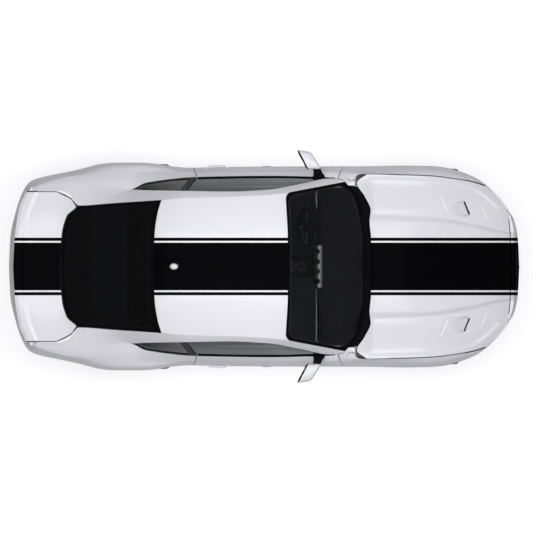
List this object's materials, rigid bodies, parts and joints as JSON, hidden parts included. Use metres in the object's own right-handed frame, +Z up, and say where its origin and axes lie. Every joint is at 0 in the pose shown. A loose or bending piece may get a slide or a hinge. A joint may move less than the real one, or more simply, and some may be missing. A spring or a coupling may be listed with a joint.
{
  "type": "muscle car",
  "caption": "Two-door fastback muscle car with opening doors, hood and trunk, steered front wheels and free-turning wheels, white with black stripes.",
  "frame": {"origin": "on the ground under the middle of the car's length and width", "axes": "+X forward, +Y to the car's left, +Z up"},
  "size_m": [4.79, 2.1846, 1.3793],
  "materials": {
    "paint_white": "pearl white gloss with broad black stripes along the middle",
    "glass_tint": "dark tinted glass",
    "trim_black": "satin black",
    "tail_black": "gloss black",
    "lamp_clear": "clear lens",
    "lamp_red": "red lens",
    "floor_paint": "grey primer and sealer",
    "chassis_black": "satin black",
    "hub_iron": "bare casting",
    "exhaust_steel": "brushed",
    "dash_plastic": "soft touch black",
    "cabin_fabric": "dark woven cloth",
    "wheel_leather": "black leather",
    "tyre": "matte rubber",
    "wheel_alloy": "dark grey alloy"
  },
  "bodies": {
    "body": {"antenna": "paint_white", "center_console": "dash_plastic", "cowl": "trim_black", "dashboard": "dash_plastic", "engine_block": "hub_iron", "exhaust": "exhaust_steel", "floor_pan": "floor_paint", "front_bumper": "paint_white", "front_fenders": "paint_white", "front_seats": "cabin_fabric", "front_subframe": "chassis_black", "grille": "trim_black", "headlamps": "lamp_clear", "quarter_glass": "glass_tint", "rear_bumper": "paint_white", "rear_seat": "cabin_fabric", "rear_subframe": "chassis_black", "rear_window": "glass_tint", "roof_panel": "paint_white", "side_body_left": "paint_white", "side_body_right": "paint_white", "splitter": "trim_black", "steering_wheel": "wheel_leather", "tail_lamps": "lamp_red", "tail_panel": "tail_black", "wheel_liners": "trim_black", "windshield": "glass_tint"},
    "door_left": {"door_left": "paint_white", "door_glass_left": "glass_tint", "mirror_left": "paint_white"},
    "door_right": {"door_right": "paint_white", "door_glass_right": "glass_tint", "mirror_right": "paint_white"},
    "hood": {"hood": "paint_white"},
    "trunk_lid": {"trunk_lid": "paint_white"},
    "knuckle_left": {"knuckle_left": "hub_iron"},
    "knuckle_right": {"knuckle_right": "hub_iron"},
    "wheel_front_left": {"wheel_front_left": "wheel_alloy", "tyre_front_left": "tyre"},
    "wheel_front_right": {"wheel_front_right": "wheel_alloy", "tyre_front_right": "tyre"},
    "wheel_rear_left": {"wheel_rear_left": "wheel_alloy", "tyre_rear_left": "tyre"},
    "wheel_rear_right": {"wheel_rear_right": "wheel_alloy", "tyre_rear_right": "tyre"}
  },
  "joints": [
    {"name": "door_left_hinge", "type": "hinge", "parent": "body", "child": "door_left", "pos_m": [0.666, 0.905, 0.545], "axis": [0, 0, -1], "range_deg": [0, 65]},
    {"name": "door_right_hinge", "type": "hinge", "parent": "body", "child": "door_right", "pos_m": [0.666, -0.905, 0.545], "axis": [0, 0, 1], "range_deg": [0, 65]},
    {"name": "hood_hinge", "type": "hinge", "parent": "body", "child": "hood", "pos_m": [0.905, 0, 0.928], "axis": [0, -1, 0], "range_deg": [0, 45]},
    {"name": "trunk_hinge", "type": "hinge", "parent": "body", "child": "trunk_lid", "pos_m": [-1.66, 0, 1.04], "axis": [0, 1, 0], "range_deg": [0, 70]},
    {"name": "steer_left", "type": "hinge", "parent": "body", "child": "knuckle_left", "pos_m": [1.49, 0.731, 0.343], "axis": [0, 0, 1], "range_deg": [-33, 33]},
    {"name": "steer_right", "type": "hinge", "parent": "body", "child": "knuckle_right", "pos_m": [1.49, -0.731, 0.343], "axis": [0, 0, 1], "range_deg": [-33, 33]},
    {"name": "spin_front_left", "type": "hinge", "parent": "knuckle_left", "child": "wheel_front_left", "pos_m": [1.49, 0.791, 0.343], "axis": [0, 1, 0], "continuous": true},
    {"name": "spin_front_right", "type": "hinge", "parent": "knuckle_right", "child": "wheel_front_right", "pos_m": [1.49, -0.791, 0.343], "axis": [0, 1, 0], "continuous": true},
    {"name": "spin_rear_left", "type": "hinge", "parent": "body", "child": "wheel_rear_left", "pos_m": [-1.23, 0.824, 0.351], "axis": [0, 1, 0], "continuous": true},
    {"name": "spin_rear_right", "type": "hinge", "parent": "body", "child": "wheel_rear_right", "pos_m": [-1.23, -0.824, 0.351], "axis": [0, 1, 0], "continuous": true}
  ],
  "couplings": [
    {"joint": "steer_right", "follows": "steer_left", "ratio": 1}
  ]
}
